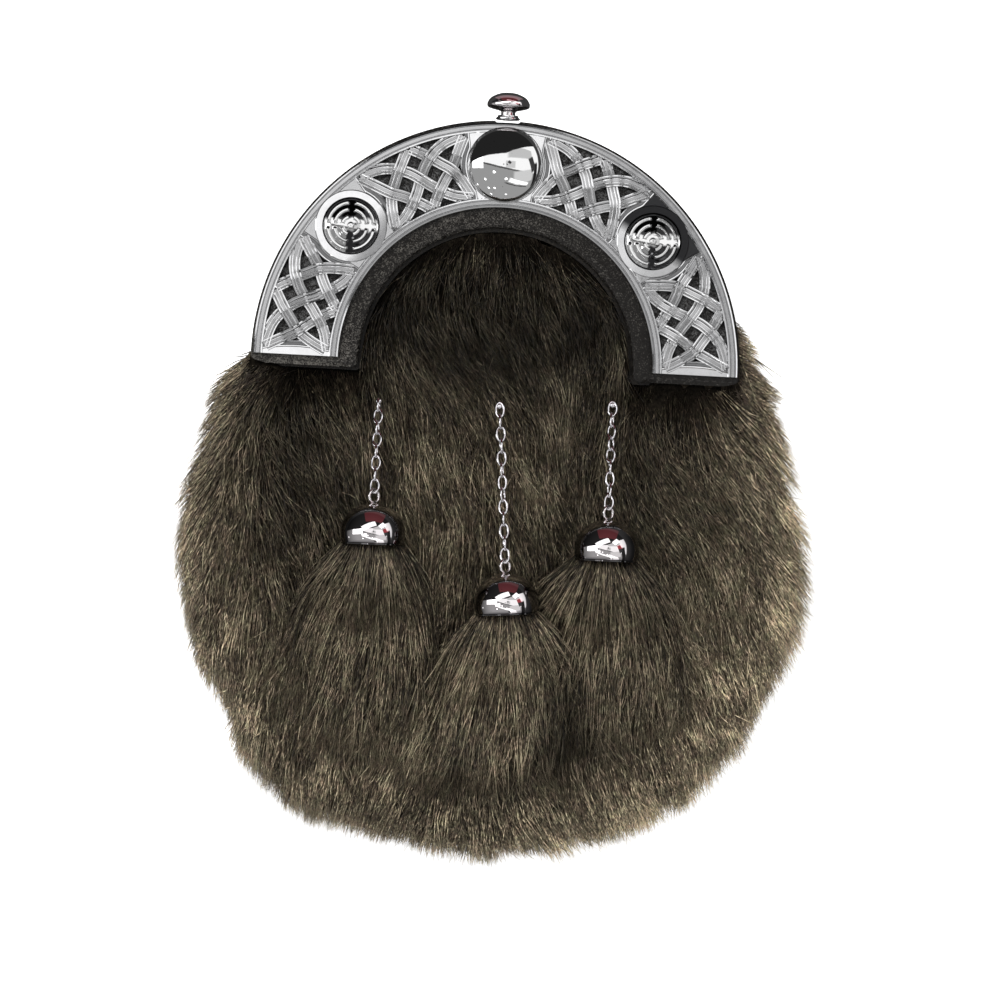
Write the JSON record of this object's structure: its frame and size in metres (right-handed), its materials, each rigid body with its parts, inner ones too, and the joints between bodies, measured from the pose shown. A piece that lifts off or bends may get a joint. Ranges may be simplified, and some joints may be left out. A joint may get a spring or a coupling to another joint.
{
  "type": "sporran pouch",
  "caption": "Fur-fronted leather sporran pouch with a pierced half-ring metal cantle, domed bosses, a knob, and three chain-hung fur tassels in metal bells.",
  "frame": {"origin": "on the flat resting patch of the leather back, on the pouch's middle line", "axes": "+X to the right as seen from the front, +Y up the pouch towards the knob, +Z out of the front"},
  "size_m": [0.2026, 0.2433, 0.0573],
  "materials": {
    "cantle_metal": "polished cast relief, plated",
    "bright_metal": "mirror polished plate",
    "leather": "black grained leather, semi-matt",
    "fur": "long dark brown fur with lighter tips"
  },
  "bodies": {
    "pouch": {"cantle": "cantle_metal", "centre_boss": "bright_metal", "boss_left": "bright_metal", "boss_right": "bright_metal", "knob_collar": "bright_metal", "facing": "leather", "pouch_back": "leather", "pouch_front": "leather", "fur_pelt": "fur", "chain_left": "bright_metal", "chain_middle": "bright_metal", "chain_right": "bright_metal", "bell_left": "bright_metal", "bell_middle": "bright_metal", "bell_right": "bright_metal", "tassel_left": "fur", "tassel_middle": "fur", "tassel_right": "fur", "strap_loop_left": "leather", "strap_loop_right": "leather"},
    "knob": {"clasp_knob": "bright_metal"}
  },
  "joints": [
    {"name": "knob_press", "type": "slide", "parent": "pouch", "child": "knob", "axis": [0, 1, 0], "range_m": [-0.0012, 0], "stiffness_N_per_m": 500, "springref_m": 0.002}
  ]
}
